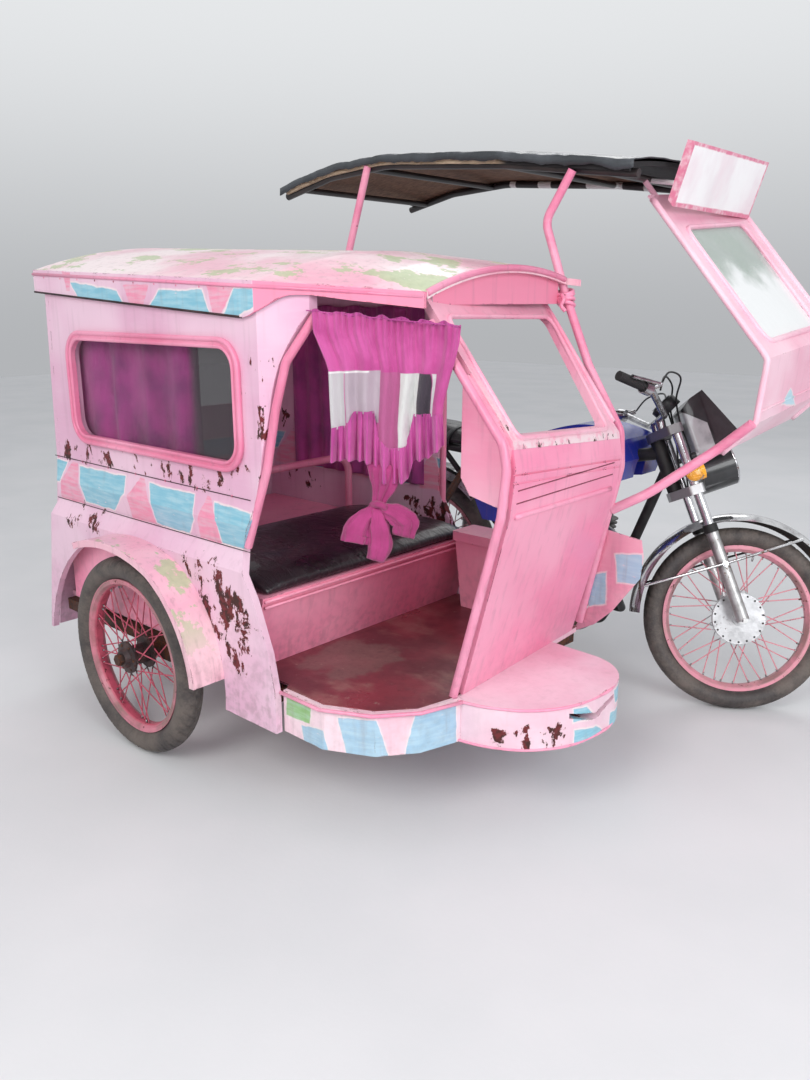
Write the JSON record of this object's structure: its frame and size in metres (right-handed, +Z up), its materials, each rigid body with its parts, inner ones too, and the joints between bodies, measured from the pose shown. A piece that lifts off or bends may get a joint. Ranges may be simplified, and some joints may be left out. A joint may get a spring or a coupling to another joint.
{
  "type": "sidecar motorcycle",
  "caption": "Small motorcycle with wire wheels and a canopy, carrying a roofed steel passenger sidecar with an open door, a bench and a spoked side wheel.",
  "frame": {"origin": "middle of the footprint on the ground", "axes": "+X forward along the motorcycle, +Y to its left, +Z up"},
  "size_m": [2.0576, 1.8372, 1.8058],
  "materials": {
    "tyre": "worn black rubber",
    "pink_rim": "pink paint worn to rust on rim and spokes",
    "rusty_rim": "pink paint mostly gone, dark rust",
    "steel_rim": "dull steel",
    "fork": "dull cast alloy and steel",
    "chrome": "chromed steel",
    "black_metal": "black paint",
    "cowl": "silver and black plastic",
    "lamp": "clear and amber lenses",
    "engine": "cast alloy",
    "blue": "gloss blue",
    "saddle": "black vinyl with a net cover",
    "pink": "weathered pink paint over dark primer",
    "chassis": "rusty dark steel",
    "floor": "dark red paint, worn, on a pink skirt",
    "roof": "pink paint with green lichen",
    "stripe": "pink and turquoise stripes",
    "bench": "wet black vinyl",
    "glass": "clear glass",
    "tarp": "black vinyl tarpaulin over a board",
    "sign": "white board with a pink border, blank",
    "cloth": "magenta cloth"
  },
  "bodies": {
    "chassis_body": {"bike_frame": "black_metal", "engine": "engine", "exhaust": "chrome", "fuel_tank": "blue", "bike_seat": "saddle", "side_covers": "blue", "swingarm": "black_metal", "rear_shocks": "chrome", "rear_mudguard": "black_metal", "sidecar_chassis": "chassis", "sidecar_axle": "chassis", "sidecar_floor": "floor", "roof_panel": "roof", "rear_panel": "pink", "outer_side_panel": "stripe", "inner_side_panel": "pink", "front_panel": "pink", "windscreen_frame": "pink", "roof_trim": "stripe", "nose_step": "pink", "seat_box": "pink", "seat_cushion": "bench", "jump_seat_box": "pink", "sidecar_mudguard": "pink", "side_window_frame": "pink", "cabin_tubes": "pink", "canopy_roof": "tarp", "canopy_frame": "pink", "windshield_panel": "pink", "window_glass": "glass", "sign_board": "sign", "leg_guard": "stripe", "door_curtain": "cloth", "window_curtains": "cloth"},
    "steering": {"front_fork": "fork", "handlebar": "black_metal", "headlamp_cowl": "cowl", "front_lamps": "lamp", "front_mudguard": "chrome"},
    "wheel_front_body": {"front_tyre": "tyre", "front_wheel": "pink_rim"},
    "wheel_rear_body": {"rear_tyre": "tyre", "rear_wheel": "steel_rim"},
    "wheel_sidecar_body": {"sidecar_tyre": "tyre", "sidecar_wheel": "rusty_rim"}
  },
  "joints": [
    {"name": "steering_turn", "type": "hinge", "parent": "chassis_body", "child": "steering", "pos_m": [0.73701, 0.63365, 0.2741], "axis": [-0.4321, 0, 0.9018], "range_deg": [-76, 0]},
    {"name": "front_wheel_spin", "type": "hinge", "parent": "steering", "child": "wheel_front_body", "pos_m": [0.77183, 0.66382, 0.29078], "axis": [-0.5552, 0.788, -0.266], "continuous": true},
    {"name": "rear_wheel_spin", "type": "hinge", "parent": "chassis_body", "child": "wheel_rear_body", "pos_m": [-0.4988, 0.63365, 0.302], "axis": [0, 1, 0], "continuous": true},
    {"name": "sidecar_wheel_spin", "type": "hinge", "parent": "chassis_body", "child": "wheel_sidecar_body", "pos_m": [-0.4118, -0.85135, 0.298], "axis": [0, 1, 0], "continuous": true}
  ]
}
